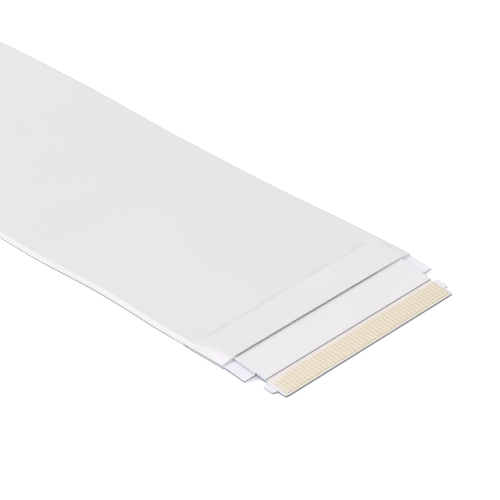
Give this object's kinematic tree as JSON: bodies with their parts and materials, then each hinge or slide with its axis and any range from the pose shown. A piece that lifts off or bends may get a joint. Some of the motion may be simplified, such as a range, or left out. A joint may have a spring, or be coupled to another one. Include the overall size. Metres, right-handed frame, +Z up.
{
  "type": "flat flex cable",
  "caption": "Shielded flat flex cable with a pale grey cover, white film and notched, gold contact tips, lying flat in a low wave.",
  "frame": {"origin": "on the surface that the cable lies on, under the middle of its length and width", "axes": "+X along the cable towards the first tip, +Y across it, +Z up, away from the surface"},
  "size_m": [0.2032, 0.0286, 0.0013],
  "materials": {
    "white_film": "satin white polyester film with a slight lavender tint",
    "contacts": "pale gold plating on flat copper conductors",
    "shield_foil": "bright shielding foil, seen only at its cut edges",
    "grey_cover": "pale grey cover film with a soft satin sheen",
    "stiffener": "pale blue-white polyester stiffener with darker blue cut edges"
  },
  "bodies": {
    "root": {"lower_insulating_film": "white_film", "upper_insulating_film": "white_film", "conductor_01": "contacts", "conductor_02": "contacts", "conductor_03": "contacts", "conductor_04": "contacts", "conductor_05": "contacts", "conductor_06": "contacts", "conductor_07": "contacts", "conductor_08": "contacts", "conductor_09": "contacts", "conductor_10": "contacts", "conductor_11": "contacts", "conductor_12": "contacts", "conductor_13": "contacts", "conductor_14": "contacts", "conductor_15": "contacts", "conductor_16": "contacts", "conductor_17": "contacts", "conductor_18": "contacts", "conductor_19": "contacts", "conductor_20": "contacts", "conductor_21": "contacts", "conductor_22": "contacts", "conductor_23": "contacts", "conductor_24": "contacts", "conductor_25": "contacts", "conductor_26": "contacts", "conductor_27": "contacts", "conductor_28": "contacts", "conductor_29": "contacts", "conductor_30": "contacts", "conductor_31": "contacts", "conductor_32": "contacts", "conductor_33": "contacts", "conductor_34": "contacts", "conductor_35": "contacts", "conductor_36": "contacts", "conductor_37": "contacts", "conductor_38": "contacts", "conductor_39": "contacts", "conductor_40": "contacts", "conductor_41": "contacts", "conductor_42": "contacts", "conductor_43": "contacts", "conductor_44": "contacts", "conductor_45": "contacts", "conductor_46": "contacts", "conductor_47": "contacts", "conductor_48": "contacts", "conductor_49": "contacts", "conductor_50": "contacts", "upper_shield_foil": "shield_foil", "upper_cover_film": "grey_cover", "lower_shield_foil": "shield_foil", "lower_cover_film": "grey_cover", "front_stiffener": "stiffener", "back_stiffener": "stiffener"}
  },
  "joints": []
}
